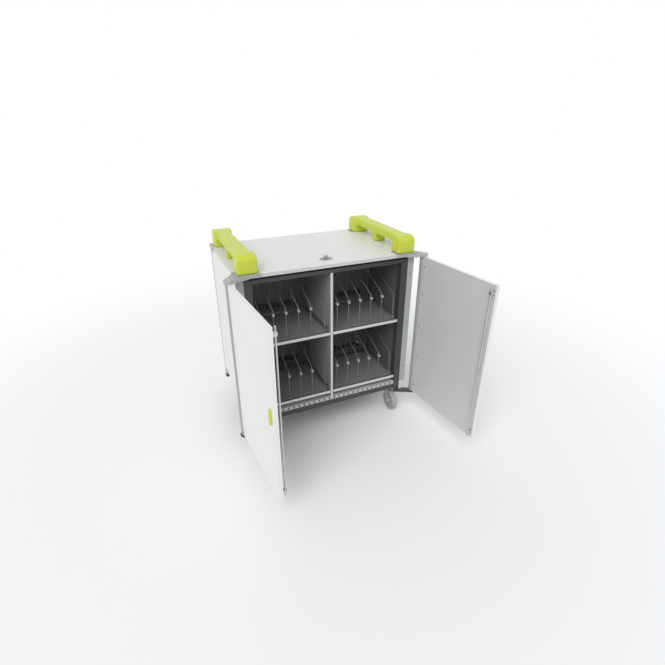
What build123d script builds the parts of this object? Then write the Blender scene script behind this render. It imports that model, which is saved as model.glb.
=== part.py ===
from build123d import *

import math
import os

# A lockable trolley that stores laptops upright in four pull-out trays.
# Millimetres, +Z up, front towards -Y. The doors are drawn standing open.

# Cabinet body
BODY_WIDTH = 800.0
FRONT_Y = -240.0
REAR_Y = 250.0
BASE_BOTTOM = 130.0
BASE_HEIGHT = 27.0
PAN_WALL = 3.0
TOP_SURFACE = 829.0
TOP_THICKNESS = 14.0
TOP_FRONT_Y = -256.0
TOP_REAR_Y = 254.0

# Front posts, top rail and floor
POST_WIDTH = 33.0
POST_DEPTH = 30.0
SIDE_THICKNESS = 18.0
COLUMN_WIDTH = 30.0
COLUMN_DEPTH = 30.0
SIDE_BOTTOM = 166.0
REAR_FLANGE = 6.0
REAR_FLANGE_WIDTH = 32.0
RAIL_HEIGHT = 16.0
RAIL_DEPTH = 20.0
LOCK_SPACE = 14.0
FLOOR_TOP = 173.0
SHEET = 2.0
FLOOR_SLOTS = 26
FLOOR_SLOT_WIDTH = 7.0
FLOOR_SLOT_LEAN = 25.0

# Inner walls
DIVIDER_THICKNESS = 11.0
BULKHEAD_Y = 60.0
CABLE_SLOT_LENGTH = 240.0
CABLE_SLOT_HEIGHT = 26.0
CABLE_SLOT_RISE = 30.0

# Pull-out trays, two levels and two sides
LOWER_TRAY_RISE = 35.0
UPPER_TRAY_RISE = 25.0
TRAY_SHEET = 2.0
TRAY_DEPTH = 284.0
TRAY_FACE = 13.0
TRAY_LIP = 8.0
RUNNER_REACH = 10.0
SLIDE_GAP = 0.3

# Wire dividers
WIRE_RADIUS = 2.3
WIRE_FIRST = 20.0
WIRE_LAST = 25.7
WIRE_LAST_EXTRA = 7.2
WIRES_WITH_CLIPS = 5
WIRE_FRONT_SETBACK = 5.0
WIRE_DEPTH = 246.0
WIRE_FRONT_RISE = 143.0
WIRE_REAR_RISE = 246.0
END_WIRE_DROP = 14.0
WIRE_BEND = 12.0
CLIP_WIDTH = 8.0
CLIP_DEPTH = 15.0
CLIP_HEIGHT = 10.0
CLIP_DROP = 9.0
CLIP_SLOT = 4.0
CLIP_WALL = 3.0

# Front doors
HINGE_OUTSET = 30.0
HINGE_Y = -266.0
HINGE_TUBE_RADIUS = 14.0
DOOR_THICKNESS = 15.0
DOOR_GAP = 3.0
LEFT_DOOR_ANGLE = 86.0
RIGHT_DOOR_ANGLE = 95.0
PIN_RADIUS = 5.0
PIN_ENGAGEMENT = 18.0
PIN_GAP = 0.06
PIN_END_GAP = 2.0
DOOR_END_GAP = 0.3
ROD_RADIUS = 3.5
ROD_STANDOFF = 12.5
ROD_INSET = 14.0
ROD_END = 6.0
ROD_BRACKET = 16.0
ROD_BRACKET_WALL = 1.5
ROD_BRACKET_FOOT = 3.0
ROD_BRACKET_HEIGHT = 12.0
ROD_BRACKET_INSET = 24.0
PULL_LENGTH = 64.0
PULL_WIDTH = 16.0
PULL_THICKNESS = 7.0
PULL_ROUND = 7.0
PULL_DIMPLE = 5.5
PULL_HEIGHT = 440.0
PULL_INSET = 30.0

# Bottom hinge brackets
BRACKET_THICKNESS = 8.0
BRACKET_DROP = 24.0
BRACKET_WIDTH = 30.0
RISER_THICKNESS = 6.0

# Rear doors and their quarter-turn knob
REAR_HINGE_INSET = 14.0
REAR_HINGE_Y = 267.0
REAR_KNOB_X = 20.0
REAR_KNOB_Z = 470.0
REAR_KNOB_RADIUS = 16.0
REAR_KNOB_LENGTH = 20.0
GRIP_WIDTH = 10.0
SPINDLE_RADIUS = 5.0
REAR_CAM_LENGTH = 29.0
CAM_CLEARANCE = 0.5
CAM_WIDTH = 14.0
CAM_THICKNESS = 3.0

# Top lock
LOCK_X = 0.0
LOCK_Y = -180.0
LOCK_KNOB_RADIUS = 10.0
LOCK_KNOB_HEIGHT = 12.0
LOCK_BAR_WIDTH = 6.0
LOCK_BAR_PROUD = 4.0
LOCK_PLATE_LENGTH = 56.0
LOCK_PLATE_WIDTH = 32.0
LOCK_PLATE_THICKNESS = 2.0
HOOK_THICKNESS = 3.0
HOOK_GAP = 1.0
HOOK_CLEARANCE = 1.5
ROD_TOP_GAP = 2.0
HOOK_HALF_ANGLE = 17.0

# Corner caps with their hinge ears
CAP_LENGTH = 100.0
CAP_DEPTH = 62.0
CAP_HEIGHT = 24.0
CAP_PROUD = 2.0
EAR_RADIUS = 19.0
EAR_THICKNESS = 12.0
REAR_EAR_RADIUS = 17.0

# Carrying handles
HANDLE_INSET = 49.0
HANDLE_WIDTH = 80.0
HANDLE_FRONT_Y = -250.0
HANDLE_REAR_Y = 244.0
HANDLE_HEIGHT = 74.0
HANDLE_BAR = 36.0
HANDLE_FOOT = 64.0
HANDLE_MID_FOOT = 30.0
HANDLE_ROUND = 12.0
HANDLE_WAIST = 11.0

# Castors
WHEEL_RADIUS = 50.0
WHEEL_WIDTH = 24.0
HUB_RADIUS = 16.0
HUB_PROUD = 2.0
DISH_DEPTH = 3.0
TREAD_ROUND = 4.0
TREAD_DEPTH = 12.0
CASTOR_INSET = 64.0
CASTOR_FRONT_Y = -190.0
CASTOR_REAR_Y = 200.0
CASTOR_TRAIL = 32.0
CASTOR_PLATE = 3.0
CASTOR_PLATE_LENGTH = 84.0
CASTOR_PLATE_WIDTH = 66.0
CUP_RADIUS = 21.0
FORK_SHEET = 3.0
FORK_END = 12.0
FORK_WIDTH = 40.0
WHEEL_GAP = 8.0
KINGPIN_RADIUS = 6.0
KINGPIN_LENGTH = 12.0
AXLE_RADIUS = 5.0
AXLE_HEAD = 3.0
AXLE_HEAD_RADIUS = 8.0

# Power strips in the rear bay
STRIP_LENGTH = 560.0
STRIP_DEPTH = 42.0
STRIP_HEIGHT = 52.0
SOCKETS = 10
SOCKET_RADIUS = 19.0
SOCKET_DEPTH = 14.0
STRIP_LEVELS = (330.0, 630.0)

HALF = BODY_WIDTH / 2
TOP_UNDERSIDE = TOP_SURFACE - TOP_THICKNESS
RAIL_TOP = TOP_UNDERSIDE - LOCK_SPACE
POST_OUTER = HALF - COLUMN_WIDTH
POST_INNER = POST_OUTER - POST_WIDTH
BASE_TOP = BASE_BOTTOM + BASE_HEIGHT
HINGE_X = HALF + HINGE_OUTSET
REAR_HINGE_X = HALF - REAR_HINGE_INSET
BRACKET_INNER_X = POST_OUTER - BRACKET_WIDTH
HANDLE_X = HALF - HANDLE_INSET
CASTOR_X = HALF - CASTOR_INSET
DIVIDER_FACE = DIVIDER_THICKNESS / 2
TRAY_OUTER = POST_INNER - SHEET - SLIDE_GAP
TRAY_INNER = DIVIDER_FACE + SHEET + SLIDE_GAP
WIRE_ROOM = TRAY_OUTER - TRAY_INNER - WIRE_FIRST - WIRE_LAST - WIRE_LAST_EXTRA
WIRE_PITCH = WIRE_ROOM / WIRES_WITH_CLIPS
TRAY_LEVELS = {
    "lower": FLOOR_TOP + LOWER_TRAY_RISE,
    "upper": (FLOOR_TOP + RAIL_TOP) / 2 + UPPER_TRAY_RISE,
}
DOOR_REACH = HINGE_X - DOOR_GAP / 2
EAR_BOTTOM = TOP_UNDERSIDE - 2
DOOR_TOP = EAR_BOTTOM - DOOR_END_GAP
BRACKET_TOP = BASE_BOTTOM - BRACKET_DROP + BRACKET_THICKNESS
DOOR_BOTTOM = BRACKET_TOP + DOOR_END_GAP
ROD_Y = HINGE_Y + DOOR_THICKNESS / 2 + ROD_STANDOFF
ARM_TOP = TOP_UNDERSIDE - HOOK_CLEARANCE
ARM_BOTTOM = ARM_TOP - CAM_THICKNESS
ROD_TOP = ARM_BOTTOM - ROD_TOP_GAP
FORK_TOP = 2 * WHEEL_RADIUS + WHEEL_GAP
PIN_TOP = EAR_BOTTOM + EAR_THICKNESS + 1


def block(x0, x1, y0, y1, z0, z1):
    """A box given by its limits along each axis."""
    size = (x1 - x0, y1 - y0, z1 - z0)
    centre = ((x0 + x1) / 2, (y0 + y1) / 2, (z0 + z1) / 2)
    return Pos(*centre) * Box(*size)


def rod(x, y, z0, z1, radius):
    """An upright cylinder."""
    return Pos(x, y, (z0 + z1) / 2) * Cylinder(radius, z1 - z0)


def rod_along(axis, centre, length, radius):
    """A lying cylinder along X or Y."""
    turn = {"X": Rot(0, 90, 0), "Y": Rot(90, 0, 0)}[axis]
    return Pos(*centre) * turn * Cylinder(radius, length)


def plate(points, z0, z1):
    """A flat plate of the given outline."""
    return Pos(0, 0, z0) * extrude(make_face(Polyline(*points, close=True)), z1 - z0)


def together(*shapes):
    """Several separate solids that share one node."""
    return Compound(obj=[solid for shape in shapes for solid in shape.solids()])


def mirrored(shape):
    """The same piece on the other side of the trolley."""
    return mirror(shape, about=Plane.YZ)


def hinge_bracket(hinge_x, hinge_y, radius, face_y):
    """A lug under a hinge, with the web and riser that hold it to the pan's edge."""
    z0 = BRACKET_TOP - BRACKET_THICKNESS
    back = face_y + RISER_THICKNESS if face_y < 0 else face_y - RISER_THICKNESS
    tip = hinge_y - radius if face_y < 0 else hinge_y + radius
    side = max(-HALF, -hinge_x - radius)
    web = (
        (-hinge_x, tip),
        (-BRACKET_INNER_X, face_y),
        (-BRACKET_INNER_X, back),
        (side, back),
        (-hinge_x - radius, hinge_y),
    )
    lug = rod(-hinge_x, hinge_y, z0, BRACKET_TOP, radius) + plate(web, z0, BRACKET_TOP)
    near, far = sorted((face_y, back))
    lug += block(-POST_OUTER, -BRACKET_INNER_X, near, far, BRACKET_TOP, BASE_BOTTOM)
    return lug - rod(-hinge_x, hinge_y, z0, BRACKET_TOP, PIN_RADIUS)


def base_pan():
    """The folded pan, open at the top, with the rear hinge lugs welded on."""
    pan = block(-POST_OUTER, POST_OUTER, FRONT_Y, REAR_Y, BASE_BOTTOM, BASE_TOP)
    inner = POST_OUTER - PAN_WALL
    pan -= block(-inner, inner, FRONT_Y + PAN_WALL, REAR_Y - PAN_WALL, BASE_BOTTOM + PAN_WALL, BASE_TOP)
    lug = hinge_bracket(REAR_HINGE_X, REAR_HINGE_Y, REAR_EAR_RADIUS, REAR_Y)
    return pan + lug + mirrored(lug)


def floor_panel():
    """The inner floor, folded down at its edges, with raking slots along the front."""
    outer = block(-POST_INNER, POST_INNER, FRONT_Y, REAR_Y, BASE_TOP, FLOOR_TOP)
    inner_x = POST_INNER - SHEET
    pan = outer - block(-inner_x, inner_x, FRONT_Y + SHEET, REAR_Y - SHEET, BASE_TOP, FLOOR_TOP - SHEET)
    height = FLOOR_TOP - BASE_TOP - 3 * SHEET
    step = 2 * (POST_INNER - 4 * SHEET) / FLOOR_SLOTS
    for i in range(FLOOR_SLOTS):
        place = Pos((i + 0.5 - FLOOR_SLOTS / 2) * step, FRONT_Y, (BASE_TOP + FLOOR_TOP) / 2)
        pan -= place * Rot(0, FLOOR_SLOT_LEAN, 0) * Box(FLOOR_SLOT_WIDTH, 3 * SHEET, height)
    return pan


def post_left():
    return block(-POST_OUTER, -POST_INNER, FRONT_Y, FRONT_Y + POST_DEPTH, BASE_TOP, RAIL_TOP)


def top_rail():
    return block(-POST_INNER, POST_INNER, FRONT_Y, FRONT_Y + RAIL_DEPTH, RAIL_TOP - RAIL_HEIGHT, RAIL_TOP)


def side_panel_left():
    board = block(-HALF, -HALF + SIDE_THICKNESS, FRONT_Y, REAR_Y, SIDE_BOTTOM, TOP_UNDERSIDE)
    column = block(-HALF, -POST_OUTER, FRONT_Y, FRONT_Y + COLUMN_DEPTH, SIDE_BOTTOM, TOP_UNDERSIDE)
    flange = block(-HALF, -HALF + REAR_FLANGE_WIDTH, REAR_Y - REAR_FLANGE, REAR_Y, SIDE_BOTTOM, TOP_UNDERSIDE)
    return board + column + flange


def liner_left():
    """The inner side wall, folded out at its foot."""
    front = FRONT_Y + POST_DEPTH
    wall = block(-POST_INNER - SHEET, -POST_INNER, front, BULKHEAD_Y, BASE_TOP, RAIL_TOP)
    return wall + block(-POST_OUTER, -POST_INNER, front, BULKHEAD_Y, BASE_TOP, BASE_TOP + SHEET)


def centre_divider():
    front = FRONT_Y + RAIL_DEPTH
    lower = block(-DIVIDER_FACE, DIVIDER_FACE, FRONT_Y, front, FLOOR_TOP, RAIL_TOP - RAIL_HEIGHT)
    return lower + block(-DIVIDER_FACE, DIVIDER_FACE, front, BULKHEAD_Y, FLOOR_TOP, RAIL_TOP)


def bulkhead():
    """The wall behind the trays, with a long cable slot behind each one."""
    y1 = BULKHEAD_Y + SHEET
    wall = block(-POST_OUTER, POST_OUTER, BULKHEAD_Y, y1, FLOOR_TOP, TOP_UNDERSIDE)
    middle = (TRAY_INNER + TRAY_OUTER) / 2
    for level in TRAY_LEVELS.values():
        low = level + CABLE_SLOT_RISE
        for side in (-1, 1):
            x0 = side * middle - CABLE_SLOT_LENGTH / 2
            wall -= block(x0, x0 + CABLE_SLOT_LENGTH, BULKHEAD_Y, y1, low, low + CABLE_SLOT_HEIGHT)
    return wall


def power_strips():
    """Two socket strips on the back of the bulkhead."""
    strips = []
    y0 = BULKHEAD_Y + SHEET
    y1 = y0 + STRIP_DEPTH
    pitch = STRIP_LENGTH / SOCKETS
    half = STRIP_LENGTH / 2
    for level in STRIP_LEVELS:
        strip = block(-half, half, y0, y1, level, level + STRIP_HEIGHT)
        for i in range(SOCKETS):
            centre = ((i + 0.5) * pitch - half, y1 - SOCKET_DEPTH / 2, level + STRIP_HEIGHT / 2)
            strip -= rod_along("Y", centre, SOCKET_DEPTH, SOCKET_RADIUS)
        strips.append(strip)
    return together(*strips)


def runner(level, wall_x, inward):
    """A C-shaped runner on a wall at wall_x, open towards the tray."""
    y0, y1 = FRONT_Y + POST_DEPTH, BULKHEAD_Y
    low = level - TRAY_SHEET - SLIDE_GAP - SHEET
    high = level + TRAY_LIP + SLIDE_GAP + SHEET
    reach = inward * RUNNER_REACH
    xs = sorted((wall_x, wall_x + reach))
    shell = block(xs[0], xs[1], y0, y1, low, high)
    back = wall_x + inward * SHEET
    ends = sorted((back, wall_x + 2 * reach))
    return shell - block(ends[0], ends[1], y0 - 1, y1 + 1, low + SHEET, high - SHEET)


def runners(walls):
    return together(*[runner(level, x, inward) for level in TRAY_LEVELS.values() for x, inward in walls])


def tray(side, level):
    """A sheet tray: flat floor, face folded down at the front, a raised lip at each side."""
    x0, x1 = sorted((side * TRAY_INNER, side * TRAY_OUTER))
    y1 = FRONT_Y + TRAY_DEPTH
    piece = block(x0, x1, FRONT_Y, y1, level - TRAY_SHEET, level)
    piece += block(x0, x1, FRONT_Y, FRONT_Y + TRAY_SHEET, level - TRAY_FACE, level)
    lip_y = FRONT_Y + POST_DEPTH + SHEET
    piece += block(x0, x0 + TRAY_SHEET, lip_y, y1, level, level + TRAY_LIP)
    return piece + block(x1 - TRAY_SHEET, x1, lip_y, y1, level, level + TRAY_LIP)


def wire_places(side):
    left = TRAY_INNER if side > 0 else -TRAY_OUTER
    places = [left + WIRE_FIRST + i * WIRE_PITCH for i in range(WIRES_WITH_CLIPS)]
    return places + [places[-1] + WIRE_PITCH + WIRE_LAST_EXTRA]


def divider_wire(x, level, drop):
    """One bent rod: front upright, rounded bend, slope, rear upright."""
    y0 = FRONT_Y + WIRE_FRONT_SETBACK
    y1 = y0 + WIRE_DEPTH
    foot = level - WIRE_RADIUS
    points = (
        (x, y0, foot),
        (x, y0, level + WIRE_FRONT_RISE - drop),
        (x, y1, level + WIRE_REAR_RISE - drop),
        (x, y1, foot),
    )
    path = FilletPolyline(*points, radius=WIRE_BEND)
    wire = sweep(Plane(origin=points[0], z_dir=(0, 0, 1)) * Circle(WIRE_RADIUS), path=path)
    below = block(x - WIRE_PITCH, x + WIRE_PITCH, y0 - WIRE_PITCH, y1 + WIRE_PITCH, foot - WIRE_RADIUS, level)
    return wire - below


def divider_wires(side, level):
    wires = []
    for i, x in enumerate(wire_places(side)):
        drop = END_WIRE_DROP if i >= WIRES_WITH_CLIPS else 0
        wires.append(divider_wire(x, level, drop))
    return together(*wires)


def cable_clips(side, level):
    """One clip on each front upright, open at the front for a lead."""
    clips = []
    y0 = FRONT_Y + WIRE_FRONT_SETBACK
    top = level + WIRE_FRONT_RISE - CLIP_DROP
    for x in wire_places(side)[:WIRES_WITH_CLIPS]:
        rear = y0 + WIRE_RADIUS + CLIP_WALL
        half = CLIP_WIDTH / 2
        clip = block(x - half, x + half, rear - CLIP_DEPTH, rear, top - CLIP_HEIGHT, top)
        clip -= rod(x, y0, top - CLIP_HEIGHT, top, WIRE_RADIUS)
        clip -= rod(x, rear - CLIP_DEPTH + CLIP_WALL, top - CLIP_HEIGHT, top, CLIP_SLOT / 2)
        clips.append(clip)
    return together(*clips)


def top_panel():
    """The top board, notched at its four corners for the caps."""
    panel = block(-HALF, HALF, TOP_FRONT_Y, TOP_REAR_Y, TOP_UNDERSIDE, TOP_SURFACE)
    for x0 in (-HALF, HALF - CAP_LENGTH):
        for y0 in (TOP_FRONT_Y, TOP_REAR_Y - CAP_DEPTH):
            panel -= block(x0, x0 + CAP_LENGTH, y0, y0 + CAP_DEPTH, TOP_UNDERSIDE, TOP_SURFACE)
    return panel - rod(LOCK_X, LOCK_Y, TOP_UNDERSIDE, TOP_SURFACE, SPINDLE_RADIUS + PIN_GAP)


def corner_cap_front():
    """The front left cap: it fills the notch, wraps the edges and reaches out over the hinge."""
    y1 = TOP_FRONT_Y + CAP_DEPTH
    x1 = -HALF + CAP_LENGTH
    cap = block(-HALF, x1, TOP_FRONT_Y - CAP_PROUD, y1, TOP_UNDERSIDE, TOP_SURFACE)
    cap += block(-HALF - CAP_PROUD, -HALF, TOP_FRONT_Y - CAP_PROUD, y1, TOP_SURFACE - CAP_HEIGHT, TOP_SURFACE)
    ear_top = EAR_BOTTOM + EAR_THICKNESS
    root = (
        (-HINGE_X, HINGE_Y - EAR_RADIUS),
        (-HALF + CAP_LENGTH / 2, TOP_FRONT_Y - CAP_PROUD),
        (-HALF, y1),
        (-HINGE_X - EAR_RADIUS, HINGE_Y),
    )
    ear = rod(-HINGE_X, HINGE_Y, EAR_BOTTOM, ear_top, EAR_RADIUS) + plate(root, EAR_BOTTOM, ear_top)
    ear -= block(-HALF, HALF, TOP_FRONT_Y, REAR_Y, EAR_BOTTOM, TOP_UNDERSIDE)
    return cap + ear - rod(-HINGE_X, HINGE_Y, EAR_BOTTOM, TOP_SURFACE, PIN_RADIUS)


def corner_cap_rear():
    """The rear left cap: its ear stands only a little outside the corner."""
    y0 = TOP_REAR_Y - CAP_DEPTH
    cap = block(-HALF, -HALF + CAP_LENGTH, y0, TOP_REAR_Y + CAP_PROUD, TOP_UNDERSIDE, TOP_SURFACE)
    outer_x = -HALF - CAP_PROUD
    cap += block(outer_x, -HALF, y0, TOP_REAR_Y + CAP_PROUD, TOP_SURFACE - CAP_HEIGHT, TOP_SURFACE)
    ear_top = EAR_BOTTOM + EAR_THICKNESS
    ear = rod(-REAR_HINGE_X, REAR_HINGE_Y, EAR_BOTTOM, ear_top, REAR_EAR_RADIUS)
    ear += block(outer_x, outer_x + 2 * REAR_EAR_RADIUS, TOP_REAR_Y, REAR_HINGE_Y, EAR_BOTTOM, ear_top)
    ear -= block(-HALF, HALF, FRONT_Y, TOP_REAR_Y, EAR_BOTTOM, TOP_UNDERSIDE)
    return cap + ear - rod(-REAR_HINGE_X, REAR_HINGE_Y, EAR_BOTTOM, TOP_SURFACE, PIN_RADIUS)


def handle_left():
    """A moulded carrying handle: two blocky feet, a slimmer bar and a small middle foot."""
    x0, x1 = -HANDLE_X - HANDLE_WIDTH / 2, -HANDLE_X + HANDLE_WIDTH / 2
    z1 = TOP_SURFACE + HANDLE_HEIGHT
    body = block(x0, x1, HANDLE_FRONT_Y, HANDLE_REAR_Y, TOP_SURFACE, z1)
    body = fillet(body.edges().filter_by(Axis.X).group_by(Axis.Z)[-1], 2 * HANDLE_ROUND)
    middle = (HANDLE_FRONT_Y + HANDLE_REAR_Y) / 2
    half = HANDLE_MID_FOOT / 2
    y0, y1 = HANDLE_FRONT_Y + HANDLE_FOOT, HANDLE_REAR_Y - HANDLE_FOOT
    for start, end in ((y0, middle - half), (middle + half, y1)):
        gap = block(x0, x1, start, end, TOP_SURFACE - HANDLE_ROUND, z1 - HANDLE_BAR)
        body -= fillet(gap.edges().filter_by(Axis.X).group_by(Axis.Z)[-1], HANDLE_ROUND)
    body -= block(x0, x0 + HANDLE_WAIST, y0, y1, TOP_SURFACE, z1)
    return body - block(x1 - HANDLE_WAIST, x1, y0, y1, TOP_SURFACE, z1)


def lock_plate():
    outline = SlotCenterToCenter(LOCK_PLATE_LENGTH - LOCK_PLATE_WIDTH, LOCK_PLATE_WIDTH)
    oval = Pos(LOCK_X, LOCK_Y, TOP_SURFACE) * extrude(outline, LOCK_PLATE_THICKNESS)
    top = TOP_SURFACE + LOCK_PLATE_THICKNESS
    return oval - rod(LOCK_X, LOCK_Y, TOP_SURFACE, top, SPINDLE_RADIUS + PIN_GAP)


def lock_knob():
    """The knob, with a bar across it to turn it by and the spindle below."""
    base = TOP_SURFACE + LOCK_PLATE_THICKNESS + SLIDE_GAP
    top = base + LOCK_KNOB_HEIGHT
    reach = LOCK_KNOB_RADIUS + LOCK_BAR_PROUD
    half = LOCK_BAR_WIDTH / 2
    knob = rod(LOCK_X, LOCK_Y, base, top, LOCK_KNOB_RADIUS)
    knob += block(LOCK_X - half, LOCK_X + half, LOCK_Y - reach, LOCK_Y + reach, base + half, top)
    return knob + rod(LOCK_X, LOCK_Y, ARM_TOP, base, SPINDLE_RADIUS)


def lock_cam():
    """An arm that passes over both lock bars, and a hook that hangs from it outside them.

    It is drawn unlocked, pointing right. A quarter turn brings it to the doors.
    """
    reach = math.hypot(ROD_INSET, LOCK_Y - ROD_Y) + ROD_RADIUS + HOOK_GAP
    bottom = RAIL_TOP + HOOK_CLEARANCE
    half = CAM_WIDTH / 2
    spread = math.tan(math.radians(HOOK_HALF_ANGLE)) * reach
    wedge = plate(((0, 0), (2 * reach, 2 * spread), (2 * reach, -2 * spread)), bottom, ARM_TOP)
    ring = rod(0, 0, bottom, ARM_TOP, reach + HOOK_THICKNESS) - rod(0, 0, bottom, ARM_TOP, reach)
    arm = block(0, reach + HOOK_THICKNESS / 2, -half, half, ARM_BOTTOM, ARM_TOP)
    arm += rod(0, 0, ARM_BOTTOM, ARM_TOP, half)
    return Pos(LOCK_X, LOCK_Y, 0) * (arm + (ring & wedge))


def opened(shape, side, angle):
    """Turns a door piece, drawn closed, to the angle it stands open."""
    axis = Axis((side * HINGE_X, HINGE_Y, 0), (0, 0, 1))
    return shape.rotate(axis, side * angle)


def hinge_tube(side):
    """The rounded hinge edge of a front door, bored at both ends for its pins."""
    x, y = side * HINGE_X, HINGE_Y
    bore = PIN_RADIUS + PIN_GAP
    tube = rod(x, y, DOOR_BOTTOM, DOOR_TOP, HINGE_TUBE_RADIUS)
    tube -= rod(x, y, DOOR_BOTTOM, DOOR_BOTTOM + PIN_ENGAGEMENT + PIN_END_GAP, bore)
    return tube - rod(x, y, DOOR_TOP - PIN_ENGAGEMENT - PIN_END_GAP, DOOR_TOP, bore)


def door_panel(side):
    """A front door's board, hollowed along its edge to sit against the hinge tube."""
    x0, x1 = sorted((side * HINGE_X, side * (HINGE_X - DOOR_REACH)))
    half = DOOR_THICKNESS / 2
    panel = block(x0, x1, HINGE_Y - half, HINGE_Y + half, DOOR_BOTTOM, DOOR_TOP)
    return panel - rod(side * HINGE_X, HINGE_Y, DOOR_BOTTOM, DOOR_TOP, HINGE_TUBE_RADIUS)


def lock_bar(side):
    """The upright bar behind a door's free edge and the two brackets that hold it."""
    x = side * ROD_INSET
    face = HINGE_Y + DOOR_THICKNESS / 2
    back = ROD_Y + ROD_RADIUS + ROD_BRACKET_WALL
    half = ROD_BRACKET / 2
    arm = half - ROD_BRACKET_WALL
    flange = ROD_BRACKET_FOOT + 1
    pieces = [rod(x, ROD_Y, DOOR_BOTTOM + ROD_END, ROD_TOP, ROD_RADIUS)]
    for z0 in (DOOR_BOTTOM + ROD_BRACKET_INSET, DOOR_TOP - ROD_BRACKET_INSET - ROD_BRACKET_HEIGHT):
        z1 = z0 + ROD_BRACKET_HEIGHT
        bracket = block(x - arm, x + arm, face, back, z0, z1)
        bracket += block(x - half, x + half, face, face + ROD_BRACKET_FOOT, z0 - flange, z1 + flange)
        pieces.append(bracket - rod(x, ROD_Y, z0, z1, ROD_RADIUS))
    return together(*pieces)


def door_pull(side):
    """A small rounded finger pull on the outside of a front door."""
    face = HINGE_Y - DOOR_THICKNESS / 2
    x = side * (HINGE_X - DOOR_REACH + PULL_INSET)
    half = PULL_WIDTH / 2
    pull = block(x - half, x + half, face - PULL_THICKNESS, face, PULL_HEIGHT, PULL_HEIGHT + PULL_LENGTH)
    pull = fillet(pull.edges().filter_by(Axis.Y), PULL_ROUND)
    middle = PULL_HEIGHT + PULL_LENGTH / 2
    return pull - rod_along("Y", (x, face - PULL_THICKNESS, middle), PULL_THICKNESS, PULL_DIMPLE)


def hinge_bracket_left():
    return hinge_bracket(HINGE_X, HINGE_Y, EAR_RADIUS, FRONT_Y)


def hinge_pins():
    """Two pins for each of the four doors, pressed into the caps and the brackets."""
    pins = []
    low = BRACKET_TOP - BRACKET_THICKNESS
    for x, y in ((HINGE_X, HINGE_Y), (REAR_HINGE_X, REAR_HINGE_Y)):
        for side in (-1, 1):
            pins.append(rod(side * x, y, DOOR_TOP - PIN_ENGAGEMENT, PIN_TOP, PIN_RADIUS))
            pins.append(rod(side * x, y, low, DOOR_BOTTOM + PIN_ENGAGEMENT, PIN_RADIUS))
    return together(*pins)


def rear_door_left():
    """A rear door with its rounded hinge edge in one moulding."""
    half = DOOR_THICKNESS / 2
    bore = PIN_RADIUS + PIN_GAP
    x, y = -REAR_HINGE_X, REAR_HINGE_Y
    panel = block(x, -DOOR_GAP / 2, y - half, y + half, DOOR_BOTTOM, DOOR_TOP)
    panel += rod(x, y, DOOR_BOTTOM, DOOR_TOP, HINGE_TUBE_RADIUS)
    panel -= rod(x, y, DOOR_BOTTOM, DOOR_BOTTOM + PIN_ENGAGEMENT + PIN_END_GAP, bore)
    return panel - rod(x, y, DOOR_TOP - PIN_ENGAGEMENT - PIN_END_GAP, DOOR_TOP, bore)


def rear_door_right():
    centre = (REAR_KNOB_X, REAR_HINGE_Y, REAR_KNOB_Z)
    return mirrored(rear_door_left()) - rod_along("Y", centre, 2 * DOOR_THICKNESS, SPINDLE_RADIUS + PIN_GAP)


def rear_knob():
    """Knob, spindle and cam, drawn unlocked with the cam hanging down."""
    x, z = REAR_KNOB_X, REAR_KNOB_Z
    outer = REAR_HINGE_Y + DOOR_THICKNESS / 2 + SLIDE_GAP
    cam_y = REAR_HINGE_Y - DOOR_THICKNESS / 2 - CAM_CLEARANCE - CAM_THICKNESS
    base = REAR_KNOB_LENGTH / 3
    half = GRIP_WIDTH / 2
    knob = rod_along("Y", (x, outer + base / 2, z), base, REAR_KNOB_RADIUS)
    top = outer + REAR_KNOB_LENGTH
    knob += block(x - half, x + half, outer, top, z - REAR_KNOB_RADIUS, z + REAR_KNOB_RADIUS)
    knob += rod_along("Y", (x, (cam_y + outer) / 2, z), outer - cam_y, SPINDLE_RADIUS)
    half = CAM_WIDTH / 2
    cam = block(x - half, x + half, cam_y, cam_y + CAM_THICKNESS, z - REAR_CAM_LENGTH, z)
    return knob + cam + rod_along("Y", (x, cam_y + CAM_THICKNESS / 2, z), CAM_THICKNESS, half)


def castor_place(sx, front):
    return sx * CASTOR_X, CASTOR_FRONT_Y if front else CASTOR_REAR_Y


CASTORS = {
    "front_left": (-1, True),
    "front_right": (1, True),
    "rear_left": (-1, False),
    "rear_right": (1, False),
}


def castor_plates():
    """Four mounting plates with the bearing cups that hold the forks' kingpins."""
    plates = []
    half_l, half_w = CASTOR_PLATE_LENGTH / 2, CASTOR_PLATE_WIDTH / 2
    low = BASE_BOTTOM - CASTOR_PLATE
    for sx, front in CASTORS.values():
        x, y = castor_place(sx, front)
        piece = block(x - half_w, x + half_w, y - half_l, y + half_l, low, BASE_BOTTOM)
        piece += rod(x, y, FORK_TOP + SLIDE_GAP, low, CUP_RADIUS)
        bore_top = FORK_TOP + KINGPIN_LENGTH + PIN_END_GAP
        plates.append(piece - rod(x, y, FORK_TOP, bore_top, KINGPIN_RADIUS + PIN_GAP))
    return together(*plates)


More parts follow.
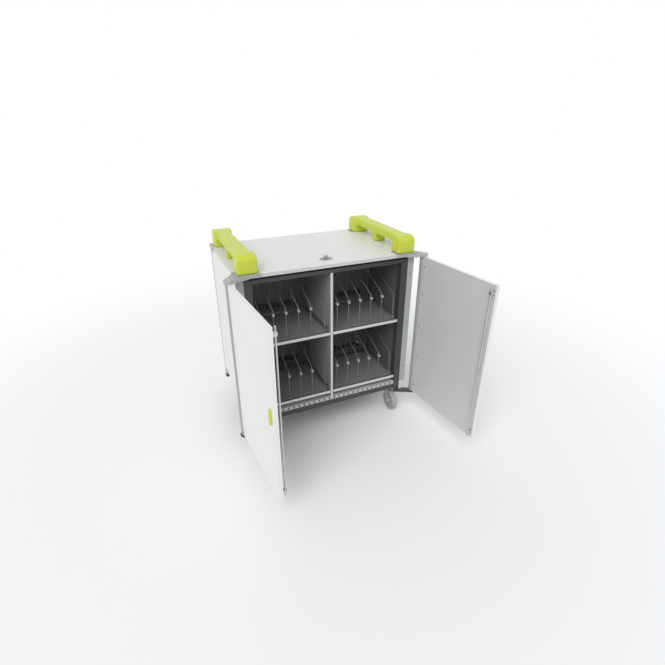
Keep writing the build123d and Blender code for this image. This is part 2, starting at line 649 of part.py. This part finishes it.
def castor_fork(sx, front):
    """Crown, two raked cheeks and kingpin, with the axle as its own solid."""
    x, y = castor_place(sx, front)
    axle_y = y - CASTOR_TRAIL
    inner = WHEEL_WIDTH / 2 + HUB_PROUD
    outer = inner + FORK_SHEET
    half = FORK_WIDTH / 2
    fork = block(x - outer, x + outer, y - half, y + half, FORK_TOP - FORK_SHEET, FORK_TOP)
    outline = (
        (y + half, FORK_TOP),
        (y - half, FORK_TOP),
        (axle_y - FORK_END, WHEEL_RADIUS),
        (axle_y, WHEEL_RADIUS - FORK_END),
        (axle_y + FORK_END, WHEEL_RADIUS),
        (y + half, FORK_TOP - FORK_END),
    )
    cheek = extrude(Plane.YZ * make_face(Polyline(*outline, close=True)), FORK_SHEET)
    fork += Pos(x - outer, 0, 0) * cheek + Pos(x + inner, 0, 0) * cheek
    fork += rod(x, y, FORK_TOP, FORK_TOP + KINGPIN_LENGTH, KINGPIN_RADIUS)
    fork -= rod_along("X", (x, axle_y, WHEEL_RADIUS), 2 * outer, AXLE_RADIUS)
    axle = rod_along("X", (x, axle_y, WHEEL_RADIUS), 2 * outer, AXLE_RADIUS)
    for end in (-1, 1):
        head = (x + end * (outer + AXLE_HEAD / 2), axle_y, WHEEL_RADIUS)
        axle += rod_along("X", head, AXLE_HEAD, AXLE_HEAD_RADIUS)
    return together(fork, axle)


def castor_wheel(sx, front):
    """A solid wheel with a dished web and a proud hub."""
    x, y = castor_place(sx, front)
    centre = (x, y - CASTOR_TRAIL, WHEEL_RADIUS)
    wheel = rod_along("X", centre, WHEEL_WIDTH, WHEEL_RADIUS)
    wheel = fillet(wheel.edges().filter_by(GeomType.CIRCLE), TREAD_ROUND)
    for end in (-1, 1):
        face = (x + end * WHEEL_WIDTH / 2, centre[1], centre[2])
        dish = rod_along("X", face, 2 * DISH_DEPTH, WHEEL_RADIUS - TREAD_DEPTH)
        wheel -= dish - rod_along("X", face, 2 * DISH_DEPTH, HUB_RADIUS)
    wheel += rod_along("X", centre, WHEEL_WIDTH + 2 * (HUB_PROUD - SLIDE_GAP), HUB_RADIUS)
    return wheel - rod_along("X", centre, 2 * WHEEL_WIDTH, AXLE_RADIUS + PIN_GAP)


def all_pieces():
    """Every piece by name, in the trolley's own place."""
    pieces = {
        "base_pan": base_pan(),
        "floor_panel": floor_panel(),
        "post_left": post_left(),
        "post_right": mirrored(post_left()),
        "top_rail": top_rail(),
        "side_panel_left": side_panel_left(),
        "side_panel_right": mirrored(side_panel_left()),
        "liner_left": liner_left(),
        "liner_right": mirrored(liner_left()),
        "centre_divider": centre_divider(),
        "bulkhead": bulkhead(),
        "power_strips": power_strips(),
        "runners_left_wall": runners([(-POST_INNER, 1)]),
        "runners_right_wall": runners([(POST_INNER, -1)]),
        "runners_divider": runners([(-DIVIDER_FACE, -1), (DIVIDER_FACE, 1)]),
        "top_panel": top_panel(),
        "corner_cap_front_left": corner_cap_front(),
        "corner_cap_front_right": mirrored(corner_cap_front()),
        "corner_cap_rear_left": corner_cap_rear(),
        "corner_cap_rear_right": mirrored(corner_cap_rear()),
        "handle_left": handle_left(),
        "handle_right": mirrored(handle_left()),
        "lock_plate": lock_plate(),
        "hinge_bracket_left": hinge_bracket_left(),
        "hinge_bracket_right": mirrored(hinge_bracket_left()),
        "hinge_pins": hinge_pins(),
        "castor_plates": castor_plates(),
        "lock_knob": lock_knob(),
        "lock_cam": lock_cam(),
        "rear_door_left": rear_door_left(),
        "rear_door_right": rear_door_right(),
        "rear_knob": rear_knob(),
    }
    doors = {"left": (-1, LEFT_DOOR_ANGLE), "right": (1, RIGHT_DOOR_ANGLE)}
    door_parts = {
        "door_panel": door_panel,
        "hinge_tube": hinge_tube,
        "lock_bar": lock_bar,
        "door_pull": door_pull,
    }
    for name, (side, angle) in doors.items():
        for piece, draw in door_parts.items():
            pieces[f"{piece}_{name}"] = opened(draw(side), side, angle)
        for level_name, level in TRAY_LEVELS.items():
            place = f"{level_name}_{name}"
            pieces[f"tray_{place}"] = tray(side, level)
            pieces[f"divider_wires_{place}"] = divider_wires(side, level)
            pieces[f"cable_clips_{place}"] = cable_clips(side, level)
    for place, (sx, front) in CASTORS.items():
        pieces[f"castor_fork_{place}"] = castor_fork(sx, front)
        pieces[f"castor_wheel_{place}"] = castor_wheel(sx, front)
    return pieces


# The origin is on the floor, under the middle of the closed body.
os.makedirs("parts", exist_ok=True)
for node, shape in all_pieces().items():
    export_step(shape, f"parts/{node}.step")
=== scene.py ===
import math

import bmesh
import bpy
from mathutils import Matrix, Vector


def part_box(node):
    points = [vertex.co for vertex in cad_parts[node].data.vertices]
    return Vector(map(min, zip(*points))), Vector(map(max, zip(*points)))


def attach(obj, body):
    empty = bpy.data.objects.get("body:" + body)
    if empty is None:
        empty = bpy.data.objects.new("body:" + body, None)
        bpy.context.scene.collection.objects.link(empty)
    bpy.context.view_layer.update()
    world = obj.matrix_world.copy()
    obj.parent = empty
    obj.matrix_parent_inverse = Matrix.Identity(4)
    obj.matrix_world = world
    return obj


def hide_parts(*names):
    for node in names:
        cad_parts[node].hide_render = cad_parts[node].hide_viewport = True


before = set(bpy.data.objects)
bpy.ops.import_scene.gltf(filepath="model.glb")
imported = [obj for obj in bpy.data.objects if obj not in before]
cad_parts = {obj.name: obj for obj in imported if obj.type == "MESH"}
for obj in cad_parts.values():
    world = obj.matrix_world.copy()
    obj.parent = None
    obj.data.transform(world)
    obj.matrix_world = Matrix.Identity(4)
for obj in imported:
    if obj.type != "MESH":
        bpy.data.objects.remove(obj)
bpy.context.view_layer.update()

# Camera. It looks down on the open front from the left, from where the photograph
# was taken. The trolley's own origin is on the floor under its middle.
camera_place = (-0.712, -1.848, 1.3844)
camera_pitch = 26.42
camera_turn = 23.98
focal_pixels = 445.8
image_pixels = 665
sensor_width = 36.0
camera = bpy.data.cameras.new("camera")
camera.sensor_width = sensor_width
camera.lens = sensor_width * focal_pixels / image_pixels
viewer = bpy.data.objects.new("camera", camera)
viewer.location = camera_place
viewer.rotation_euler = (math.radians(90 - camera_pitch), 0, math.radians(-camera_turn))
bpy.context.scene.collection.objects.link(viewer)
bpy.context.scene.camera = viewer
bpy.context.scene.view_settings.view_transform = "Standard"

# Base pan, posts, top rail, hinge brackets and tray runners. Folded sheet steel, welded
# up and dipped in a dark grey powder coat, so that the frame reads as a dark line round
# the pale boards. The runners are screwed to the walls inside.
noise_detail = 3.0
straight_on = 0.9


class Value:
    """A shader socket that can be added to, multiplied and compared."""

    def __init__(self, owner, socket):
        self.owner = owner
        self.socket = socket

    def _math(self, operation, first, second):
        return self.owner.node("ShaderNodeMath", {"operation": operation}, {0: first, 1: second})

    def __add__(self, other):
        return self._math("ADD", self, other)

    def __radd__(self, other):
        return self._math("ADD", other, self)

    def __mul__(self, other):
        return self._math("MULTIPLY", self, other)

    def __rmul__(self, other):
        return self._math("MULTIPLY", other, self)

    def __gt__(self, other):
        return self._math("GREATER_THAN", self, other)


class Nodes:
    """The node tree of a finish or of the room."""

    def __init__(self, tree):
        self.tree = tree

    def node(self, kind, settings=None, inputs=None, output=0):
        made = self.tree.nodes.new(kind)
        for name, value in (settings or {}).items():
            setattr(made, name, value)
        for name, value in (inputs or {}).items():
            self.link(value, made.inputs[name])
        return Value(self, made.outputs[output])

    def link(self, value, socket):
        if isinstance(value, Value):
            self.tree.links.new(value.socket, socket)
        else:
            socket.default_value = value


class Finish(Nodes):
    """A material with one Principled shader."""

    def __init__(self, name, roughness, metallic=0.0):
        self.material = bpy.data.materials.new(name)
        self.material.use_nodes = True
        super().__init__(self.material.node_tree)
        self.shader = self.tree.nodes["Principled BSDF"]
        self.shader.inputs["Roughness"].default_value = roughness
        self.shader.inputs["Metallic"].default_value = metallic

    def wear(self, name, value):
        self.link(value, self.shader.inputs[name])

    def where(self):
        return self.node("ShaderNodeTexCoord", output="Object")

    def noise(self, scale):
        inputs = {"Vector": self.where(), "Scale": scale, "Detail": noise_detail}
        return self.node("ShaderNodeTexNoise", inputs=inputs)

    def facing(self, direction, limit=straight_on):
        """One where the surface faces this way on its own piece, else nought."""
        normal = self.node("ShaderNodeTexCoord", output="Normal")
        inputs = {0: normal, 1: direction}
        turned = self.node("ShaderNodeVectorMath", {"operation": "DOT_PRODUCT"}, inputs, "Value")
        return turned > limit

    def mix(self, factor, first, second):
        inputs = {0: factor, 6: first, 7: second}
        return self.node("ShaderNodeMix", {"data_type": "RGBA"}, inputs, 2)

    def bump(self, height, strength, distance):
        inputs = {"Height": height, "Strength": strength, "Distance": distance}
        self.wear("Normal", self.node("ShaderNodeBump", inputs=inputs))


def tone(colour, share=1.0):
    return (colour[0] * share, colour[1] * share, colour[2] * share, 1.0)


def powder_coat(name, colour, roughness=0.45, side=None, painted_light_tone=None):
    """Baked powder paint: fine orange peel, a little uneven; one side can get a painted highlight
    or painted shade.
    """
    patch_scale, darkest, lightest = 9.0, 0.93, 1.05
    gloss_change, gloss_drop = 0.15, 0.07
    peel_scale, peel_strength, peel_depth = 900.0, 0.25, 0.0004
    finish = Finish(name, roughness)
    patches = finish.noise(patch_scale)
    paint = finish.mix(patches, tone(colour, darkest), tone(colour, lightest))
    # The tone on that one side is painted light or painted shade, not a second paint.
    if side:
        paint = finish.mix(finish.facing(side), paint, tone(painted_light_tone))
    finish.wear("Base Color", paint)
    finish.wear("Roughness", patches * gloss_change + (roughness - gloss_drop))
    finish.bump(finish.noise(peel_scale), peel_strength, peel_depth)
    return finish.material


def wear_finish(material, *nodes):
    """Gives carried-over pieces their finish, in every slot that they have."""
    for node in nodes:
        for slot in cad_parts[node].material_slots:
            slot.material = material


dark_grey = (0.05, 0.053, 0.056)
runner_grey = (0.09, 0.094, 0.098)
frame_coat = powder_coat("dark_powder_coat", dark_grey)
wear_finish(frame_coat, "base_pan", "post_left", "post_right", "top_rail")
wear_finish(frame_coat, "hinge_bracket_left", "hinge_bracket_right")
runner_coat = powder_coat("runner_coat", runner_grey)
wear_finish(runner_coat, "runners_left_wall", "runners_right_wall", "runners_divider")

# Inner walls. Sheet steel in a grey coat: the liners beside the trays, the dark wall
# behind them with its cable slots, the divider between the bays and the slotted floor.
liner_grey = (0.13, 0.133, 0.136)
bulkhead_grey = (0.10, 0.102, 0.105)
divider_grey = (0.34, 0.345, 0.35)
divider_edge_highlight_grey = (0.62, 0.63, 0.64)
floor_panel_grey = (0.50, 0.505, 0.51)
divider_roughness = 0.45
frontwards = (0, -1, 0)
wear_finish(powder_coat("liner_coat", liner_grey), "liner_left", "liner_right")
wear_finish(powder_coat("bulkhead_coat", bulkhead_grey), "bulkhead")
# The divider's front-facing edge is painted pale grey: a painted highlight where the light falls
# on it.
divider_coat = powder_coat(
    "divider_coat", divider_grey, divider_roughness, frontwards, divider_edge_highlight_grey
)
wear_finish(divider_coat, "centre_divider")
wear_finish(powder_coat("floor_coat", floor_panel_grey), "floor_panel")

# Side panels and top. White melamine-faced board with pale grey edging tape. The front
# edge of each side is a grey strip, screwed on, that the door's tube closes against.
sides = ("left", "right")
side_sign = {"left": -1, "right": 1}
board_white = (0.80, 0.80, 0.805)
side_edge_grey = (0.42, 0.43, 0.44)
top_white = (0.74, 0.74, 0.745)
top_edge_grey = (0.60, 0.61, 0.62)
screw_grey = (0.30, 0.30, 0.31)
screw_profile = ((1.0, 0.0), (0.92, 0.24), (0.7, 0.4), (0.46, 0.44), (0.42, 0.12))
screw_sides = 24
first_socket_ring = 3
star_step = 4
star_notch = 0.8
column_x = 0.385
column_screw_heights = (0.25, 0.49, 0.73)
column_screw_radius = 0.0042


def laminate(name, colour, inner=None, inner_side=None, limit=straight_on, edge=None):
    """Melamine-faced board: a fine pearl grain, with its own tone on one side or its edges."""
    roughness, patch_scale, darkest, lightest = 0.38, 4.0, 0.97, 1.02
    gloss_scale, gloss_change, gloss_base = 60.0, 0.1, 0.33
    pearl_scale, pearl_strength, pearl_depth = 600.0, 0.15, 0.0003
    edge_limit = 0.5
    finish = Finish(name, roughness)
    patches = finish.noise(patch_scale)
    face = finish.mix(patches, tone(colour, darkest), tone(colour, lightest))
    if inner:
        face = finish.mix(finish.facing(inner_side, limit), face, tone(inner))
    if edge:
        face = finish.mix(finish.facing((0, 0, 1), edge_limit), tone(edge), face)
    finish.wear("Base Color", face)
    finish.wear("Roughness", finish.noise(gloss_scale) * gloss_change + gloss_base)
    finish.bump(finish.noise(pearl_scale), pearl_strength, pearl_depth)
    return finish.material


def bright_plate(name, colour, roughness=0.3):
    """Zinc plate: metallic and clouded, with a fine grain."""
    metallic, patch_scale, darkest, lightest = 0.85, 30.0, 0.85, 1.08
    gloss_change, gloss_drop = 0.25, 0.1
    grain_scale, grain_strength, grain_depth = 700.0, 0.2, 0.0002
    finish = Finish(name, roughness, metallic)
    patches = finish.noise(patch_scale)
    finish.wear("Base Color", finish.mix(patches, tone(colour, darkest), tone(colour, lightest)))
    finish.wear("Roughness", patches * gloss_change + (roughness - gloss_drop))
    finish.bump(finish.noise(grain_scale), grain_strength, grain_depth)
    return finish.material


def to_mesh(name, shape):
    mesh = bpy.data.meshes.new(name)
    shape.to_mesh(mesh)
    shape.free()
    return mesh


def add_piece(name, mesh, material, body, smooth=False):
    """A piece of this file's own, riding on a body."""
    piece = bpy.data.objects.new(name, mesh)
    bpy.context.scene.collection.objects.link(piece)
    mesh.materials.clear()
    mesh.materials.append(material)
    for face in mesh.polygons:
        face.use_smooth = smooth
    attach(piece, body)
    return piece


def screw_ring(shape, move, step, radius):
    """One ring of a screw head; the rings of its socket are notched to a star."""
    reach, rise = screw_profile[step]
    ring = []
    for i in range(screw_sides):
        notched = step >= first_socket_ring and i % star_step == 0
        notch = star_notch if notched else 1.0
        angle = math.tau * i / screw_sides
        spot = Vector((math.cos(angle), math.sin(angle), 0)) * reach * notch + Vector((0, 0, rise))
        ring.append(shape.verts.new(move @ (spot * radius)))
    return ring


def screw_heads(name, places, facing, body, radius):
    """Domed screw heads with a star socket, all facing one way."""
    shape = bmesh.new()
    turn = Vector(facing).to_track_quat("Z", "Y").to_matrix().to_4x4()
    for place in places:
        move = Matrix.Translation(place) @ turn
        rings = [screw_ring(shape, move, step, radius) for step in range(len(screw_profile))]
        for low, high in zip(rings, rings[1:]):
            for i in range(screw_sides):
                after = (i + 1) % screw_sides
                shape.faces.new((low[i], low[after], high[after], high[i]))
        shape.faces.new(rings[-1])
        shape.faces.new(list(reversed(rings[0])))
    return add_piece(name, to_mesh(name, shape), screw_finish, body)


side_board = laminate("side_board", board_white, side_edge_grey, frontwards)
wear_finish(side_board, "side_panel_left", "side_panel_right")
wear_finish(laminate("top_board", top_white, edge=top_edge_grey), "top_panel")
screw_finish = bright_plate("screw_plate", screw_grey)
front_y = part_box("side_panel_left")[0][1]
for side in sides:
    places = [(side_sign[side] * column_x, front_y, height) for height in column_screw_heights]
    screw_heads(f"column_screws_{side}", places, frontwards, "cabinet", column_screw_radius)

# Corner caps. Grey mouldings fixed over the four corners of the top, each with an ear
# that holds a hinge pin. The pin's plated end shows as a bright dot.
corners = ("front_left", "front_right", "rear_left", "rear_right")
cap_grey = (0.40, 0.41, 0.42)
pin_grey = (0.75, 0.76, 0.77)


def moulding(name, colour, roughness=0.42, grain=0.3):
    """Moulded plastic with a spark-eroded grain and a slight bloom."""
    patch_scale, darkest, lightest = 14.0, 0.94, 1.04
    bloom_scale, bloom_change, bloom_drop = 40.0, 0.12, 0.06
    grain_scale, grain_depth = 1400.0, 0.0003
    finish = Finish(name, roughness)
    patches = finish.noise(patch_scale)
    finish.wear("Base Color", finish.mix(patches, tone(colour, darkest), tone(colour, lightest)))
    finish.wear("Roughness", finish.noise(bloom_scale) * bloom_change + (roughness - bloom_drop))
    finish.bump(finish.noise(grain_scale), grain, grain_depth)
    return finish.material


cap_finish = moulding("cap_moulding", cap_grey)
wear_finish(cap_finish, *[f"corner_cap_{corner}" for corner in corners])
wear_finish(bright_plate("pin_plate", pin_grey), "hinge_pins")

# Carrying handles. One-piece lime mouldings with soft edges all over, bolted down
# through the top. The solid is remeshed finely and its edges are eased.
lime = (0.56, 0.64, 0.05)
lime_roughness = 0.36
fine_grain = 0.15
handle_voxel = 0.003
handle_easing = 14
easing_factor = 0.5


def baked(piece):
    """The mesh that a piece has once its modifiers are applied."""
    shown = piece.evaluated_get(bpy.context.evaluated_depsgraph_get())
    return bpy.data.meshes.new_from_object(shown)


def eased(name, node, voxel, rounds):
    """A fine, soft-edged copy of a moulded piece."""
    copy = bpy.data.objects.new(name + "_work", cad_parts[node].data.copy())
    bpy.context.scene.collection.objects.link(copy)
    remesh = copy.modifiers.new("remesh", "REMESH")
    remesh.mode = "VOXEL"
    remesh.voxel_size = voxel
    easing = copy.modifiers.new("easing", "SMOOTH")
    easing.factor = easing_factor
    easing.iterations = rounds
    mesh = baked(copy)
    bpy.data.objects.remove(copy)
    mesh.name = name
    return mesh


lime_finish = moulding("lime_moulding", lime, lime_roughness, fine_grain)
for side in sides:
    name = f"handle_shell_{side}"
    mesh = eased(name, f"handle_{side}", handle_voxel, handle_easing)
    shell = add_piece(name, mesh, lime_finish, "cabinet", True)
    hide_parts(f"handle_{side}")

# Front doors. White board outside and pale grey inside, a round grey edge at the
# hinge, a bright lock bar near the free edge, and a lime finger pull outside.
door_tilt = {"left": math.radians(-86), "right": math.radians(95)}
hinge_x = 0.430
hinge_y = -0.266
board_face = 0.0075
inner_grey = (0.60, 0.61, 0.62)
tube_grey = (0.34, 0.345, 0.35)
tube_roughness = 0.4
bar_grey = (0.62, 0.63, 0.64)
door_screw_inset = 0.026
door_screw_heights = (0.16, 0.32, 0.48, 0.64, 0.77)
door_screw_radius = 0.0036
pull_voxel = 0.001
pull_easing = 4
tube_finish = moulding("tube_moulding", tube_grey, tube_roughness, fine_grain)
bar_finish = bright_plate("bar_plate", bar_grey)
for side in sides:
    sign = side_sign[side]
    body = f"front_door_{side}"
    turn = Matrix.Rotation(door_tilt[side], 3, "Z")
    inward = turn @ Vector((0, 1, 0))
    door_board = laminate(f"door_board_{side}", board_white, inner_grey, tuple(inward))
    wear_finish(door_board, f"door_panel_{side}")
    wear_finish(tube_finish, f"hinge_tube_{side}")
    wear_finish(bar_finish, f"lock_bar_{side}")
    offset = turn @ Vector((-sign * door_screw_inset, board_face, 0))
    foot = Vector((sign * hinge_x, hinge_y, 0)) + offset
    places = [foot + Vector((0, 0, height)) for height in door_screw_heights]
    screw_heads(f"door_screws_{side}", places, inward, body, door_screw_radius)
    name = f"finger_pull_{side}"
    mesh = eased(name, f"door_pull_{side}", pull_voxel, pull_easing)
    pull = add_piece(name, mesh, lime_finish, body, True)
    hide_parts(f"door_pull_{side}")

# Back doors and their knob. The same white board, with a rounded grey edge at the
# hinge, held shut by a grey quarter-turn knob.
rounded_limit = 0.02
for side in sides:
    outward = (side_sign[side], 0, 0)
    back_board = laminate(f"back_board_{side}", board_white, tube_grey, outward, rounded_limit)
    wear_finish(back_board, f"rear_door_{side}")
wear_finish(cap_finish, "rear_knob")

# Top lock. A plated oval plate fixed on the top, with a small turned knob. The arm
# and hook that catch the doors' bars are under the top board.
lock_plate_grey = (0.34, 0.34, 0.345)
lock_knob_grey = (0.42, 0.42, 0.43)
lock_knob_roughness = 0.22
wear_finish(bright_plate("lock_plate_finish", lock_plate_grey), "lock_plate", "lock_cam")
wear_finish(bright_plate("lock_knob_finish", lock_knob_grey, lock_knob_roughness), "lock_knob")

# Trays. Folded sheet steel in a pale grey coat, the top faces painted dark as painted shade,
# with fine ribs pressed front to back, so that the edge of what stands in them slides easily.
levels = ("lower", "upper")
tray_grey = (0.62, 0.63, 0.635)
tray_top_shade_grey = (0.14, 0.142, 0.145)
tray_roughness = 0.4
tray_lip = 0.008
rib_grey = (0.36, 0.365, 0.37)
rib_spacing = 0.0075
rib_width = 0.003
rib_height = 0.0009
rib_margin = 0.012
edge_steps = 2
edge_profile = 0.6


def edged_box(mesh, low, high, bevel):
    """Adds a box with rounded edges to a bmesh."""
    size = [high[i] - low[i] for i in range(3)]
    middle = [(high[i] + low[i]) / 2 for i in range(3)]
    made = bmesh.ops.create_cube(mesh, size=1.0)["verts"]
    bmesh.ops.scale(mesh, vec=size, verts=made)
    bmesh.ops.translate(mesh, vec=middle, verts=made)
    edges = list({edge for vert in made for edge in vert.link_edges})
    bmesh.ops.bevel(
        mesh, geom=edges, offset=bevel, segments=edge_steps, affect="EDGES", profile=edge_profile
    )


# The upward faces get a dark grey: painted shade inside the bay, under the tray above.
tray_finish = powder_coat("tray_coat", tray_grey, tray_roughness, (0, 0, 1), tray_top_shade_grey)
rib_finish = powder_coat("rib_coat", rib_grey, tray_roughness)
for level in levels:
    for side in sides:
        node = f"tray_{level}_{side}"
        name = f"ribs_{level}_{side}"
        wear_finish(tray_finish, node)
        low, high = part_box(node)
        floor = high[2] - tray_lip
        shape = bmesh.new()
        count = int((high[0] - low[0] - 2 * rib_margin) / rib_spacing)
        for i in range(count + 1):
            x = low[0] + rib_margin + i * rib_spacing
            near = (x - rib_width / 2, low[1] + rib_margin, floor)
            far = (x + rib_width / 2, high[1] - rib_margin, floor + rib_height)
            edged_box(shape, near, far, rib_height / 3)
        mesh = to_mesh(name, shape)
        add_piece(name, mesh, rib_finish, f"shelf_{level}_{side}")

# Wire dividers and clips. Bent steel rod in a grey coat, with a pale clip on each
# front upright that holds the end of a charging lead.
wire_grey = (0.14, 0.143, 0.146)
wire_roughness = 0.35
clip_grey = (0.40, 0.405, 0.41)
wire_finish = powder_coat("wire_coat", wire_grey, wire_roughness)
clip_finish = moulding("clip_moulding", clip_grey)
for level in levels:
    for side in sides:
        wear_finish(wire_finish, f"divider_wires_{level}_{side}")
        wear_finish(clip_finish, f"cable_clips_{level}_{side}")

# Castors. Bright zinc forks that swivel under plated cups, with grey wheels that
# don't mark a floor. Each plate is held to the pan by four bolts.
fork_grey = (0.72, 0.73, 0.74)
tyre_grey = (0.36, 0.37, 0.38)
tyre_roughness = 0.6
tyre_grain = 0.4
castor_x = 0.336
castor_rows = (-0.190, 0.200)
bolt_across = 0.026
bolt_along = 0.034
bolt_radius = 0.0055
plate_low = 0.127
fork_finish = bright_plate("fork_plate", fork_grey)
tyre_finish = moulding("tyre_rubber", tyre_grey, tyre_roughness, tyre_grain)
wear_finish(fork_finish, "castor_plates")
for corner in corners:
    wear_finish(fork_finish, f"castor_fork_{corner}")
    wear_finish(tyre_finish, f"castor_wheel_{corner}")
places = []
for x in (-castor_x, castor_x):
    for y in castor_rows:
        for across in (-bolt_across, bolt_across):
            for along in (-bolt_along, bolt_along):
                places.append((x + across, y + along, plate_low))
screw_heads("castor_bolts", places, (0, 0, -1), "cabinet", bolt_radius)

# Power strips. Off-white mouldings on the back of the inner wall. In each round socket the
# two pin holes are black squares of painted shade, beside two dark earth clips.
strip_white = (0.78, 0.78, 0.76)
hole_shade_and_clip_black = (0.06, 0.06, 0.062)
socket_rows = (0.356, 0.656)
socket_count = 10
socket_pitch = 0.056
pin_offset = 0.0095
pin_half = 0.0025
clip_half = 0.002
clip_ends = ((0.0135, 0.0185), (-0.0185, -0.0135))
socket_mark_near = 0.0895
pin_far = 0.0905
clip_far = 0.0930
socket_mark_round = 0.0004
wear_finish(moulding("strip_moulding", strip_white), "power_strips")
# The black on the pin holes is painted shade; the earth clips get the same black.
hole_shade_and_clip_finish = moulding("socket_hole_shade_and_clips", hole_shade_and_clip_black)
shape = bmesh.new()
for height in socket_rows:
    for i in range(socket_count):
        x = (i - (socket_count - 1) / 2) * socket_pitch
        for across in (-pin_offset, pin_offset):
            low = (x + across - pin_half, socket_mark_near, height - pin_half)
            high = (x + across + pin_half, pin_far, height + pin_half)
            edged_box(shape, low, high, socket_mark_round)
        for bottom, top in clip_ends:
            low = (x - clip_half, socket_mark_near, height + bottom)
            high = (x + clip_half, clip_far, height + top)
            edged_box(shape, low, high, socket_mark_round)
socket_marks = to_mesh("socket_hole_shade_and_clips", shape)
add_piece("socket_hole_shade_and_clips", socket_marks, hole_shade_and_clip_finish, "cabinet")

# Floor. A pale plain floor that fades to the white of the room a few metres out and
# keeps the trolley's soft shadow.
floor_reach = 40.0
floor_grey = (0.93, 0.93, 0.93)
floor_roughness = 0.9
floor_shine = 0.1
fade_start = 1.1
fade_end = 2.6
bpy.ops.mesh.primitive_plane_add(size=floor_reach)
ground = bpy.context.object
ground.name = "floor"
white = (1, 1, 1, 1)
paint = Finish("floor_paint", floor_roughness)
paint.shader.inputs["Base Color"].default_value = tone(floor_grey)
paint.shader.inputs["Specular IOR Level"].default_value = floor_shine
glow = paint.node("ShaderNodeEmission", inputs={"Color": white, "Strength": 1.0})
reach = paint.node("ShaderNodeVectorMath", {"operation": "LENGTH"}, {0: paint.where()}, "Value")
fade_inputs = {"Value": reach, "From Min": fade_start, "From Max": fade_end}
fade = paint.node("ShaderNodeMapRange", {"interpolation_type": "SMOOTHSTEP"}, fade_inputs)
seen = paint.node("ShaderNodeLightPath", output="Is Camera Ray")
lit = Value(paint, paint.shader.outputs[0])
blend = paint.node("ShaderNodeMixShader", inputs={0: fade * seen, 1: lit, 2: glow})
paint.link(blend, paint.tree.nodes["Material Output"].inputs[0])
ground.data.materials.append(paint.material)

# Light. One broad soft lamp from the upper left and an even sky, at a level where
# a colour renders about as it is written. The room itself shows white.
lamp_power = 1.5
lamp_spread = 40
lamp_tilt = (32, -34, 0)
sky_strength = 0.62
lamp = bpy.data.lights.new("key", "SUN")
lamp.energy = lamp_power
lamp.angle = math.radians(lamp_spread)
key = bpy.data.objects.new("key", lamp)
key.rotation_euler = [math.radians(angle) for angle in lamp_tilt]
bpy.context.scene.collection.objects.link(key)
world = bpy.data.worlds.new("room")
bpy.context.scene.world = world
world.use_nodes = True
room = Nodes(world.node_tree)
sky = room.tree.nodes["Background"]
sky.inputs["Color"].default_value = white
sky.inputs["Strength"].default_value = sky_strength
wall = room.node("ShaderNodeBackground", inputs={"Color": white, "Strength": 1.0})
ray_kinds = ("Is Camera Ray", "Is Glossy Ray", "Is Transmission Ray")
shown = room.node("ShaderNodeLightPath", output=ray_kinds[0])
for kind in ray_kinds[1:]:
    ray = room.node("ShaderNodeLightPath", output=kind)
    shown = room.node("ShaderNodeMath", {"operation": "MAXIMUM"}, {0: shown, 1: ray})
dim = Value(room, sky.outputs[0])
pick = room.node("ShaderNodeMixShader", inputs={0: shown, 1: dim, 2: wall})
room.link(pick, room.tree.nodes["World Output"].inputs[0])
